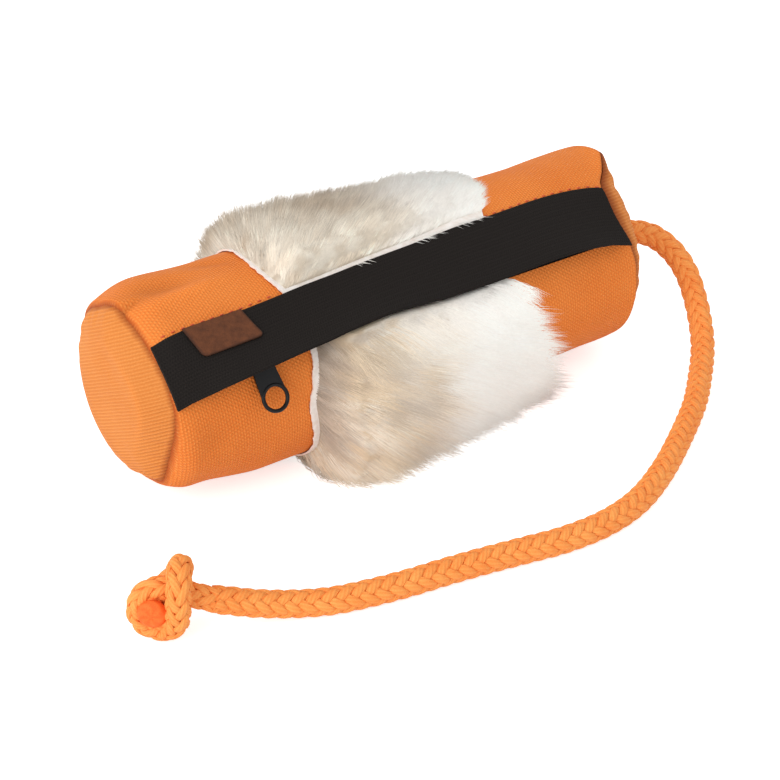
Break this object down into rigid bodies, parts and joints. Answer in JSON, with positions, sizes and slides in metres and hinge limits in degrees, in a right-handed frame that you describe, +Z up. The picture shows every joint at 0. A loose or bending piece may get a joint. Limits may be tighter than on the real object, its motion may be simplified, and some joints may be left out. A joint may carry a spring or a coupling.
{
  "type": "training bumper",
  "caption": "Zip-up training bumper: orange canvas treat tube with a fur band, a black webbing flap over its zip, and a knotted throw rope.",
  "frame": {"origin": "on the ground under the middle of the tube", "axes": "+X along the tube toward the rope end, +Y toward the back, away from the zip, +Z up"},
  "size_m": [0.2745, 0.1693, 0.0895],
  "materials": {
    "canvas": "coarse matt canvas",
    "lining": "coated wipe-clean lining",
    "webbing": "black ribbed webbing",
    "zip_tape": "black woven tape",
    "zip_teeth": "black nylon",
    "zip_metal": "gloss black enamel",
    "label": "brown, bare",
    "hide": "pale suede",
    "fur": "rabbit fur, beige to white",
    "rope": "braided cord",
    "eyelet": "dark enamel"
  },
  "bodies": {
    "body": {"body_panel": "canvas", "front_end_panel": "canvas", "rear_end_panel": "canvas", "lining_tube": "lining", "front_lining_disc": "lining", "rear_lining_disc": "lining", "front_seam_tape": "webbing", "rear_seam_tape": "webbing", "zip_tape_front": "zip_tape", "zip_tape_rear": "zip_tape", "zip_teeth_front": "zip_teeth", "zip_teeth_rear": "zip_teeth", "zip_top_stops": "zip_metal", "zip_bottom_stop": "zip_metal", "fur_hide": "hide", "fur_pile": "fur", "fur_pile_front": "fur", "rope_eyelet": "eyelet", "eyelet_washer": "eyelet", "rope_anchor_knot": "rope", "throw_rope": "rope", "rope_end_knot": "rope"},
    "flap": {"flap": "webbing", "label": "label"},
    "slider": {"zip_slider": "zip_metal", "slider_bridge": "zip_metal"},
    "pull": {"zip_pull": "zip_metal"}
  },
  "joints": [
    {"name": "flap_lift", "type": "hinge", "parent": "body", "child": "flap", "pos_m": [0, -0.01716, 0.07099], "axis": [-1, 0, 0], "range_deg": [0, 60]},
    {"name": "zip_slide", "type": "slide", "parent": "body", "child": "slider", "axis": [1, 0, 0], "range_m": [0, 0.128], "deforming": ["zip_teeth_front", "zip_teeth_rear", "fur_pile_front"]},
    {"name": "pull_swing", "type": "hinge", "parent": "slider", "child": "pull", "pos_m": [-0.063, -0.02924, 0.06354], "axis": [0, -0.8656, 0.5006], "range_deg": [-50, 30]}
  ]
}
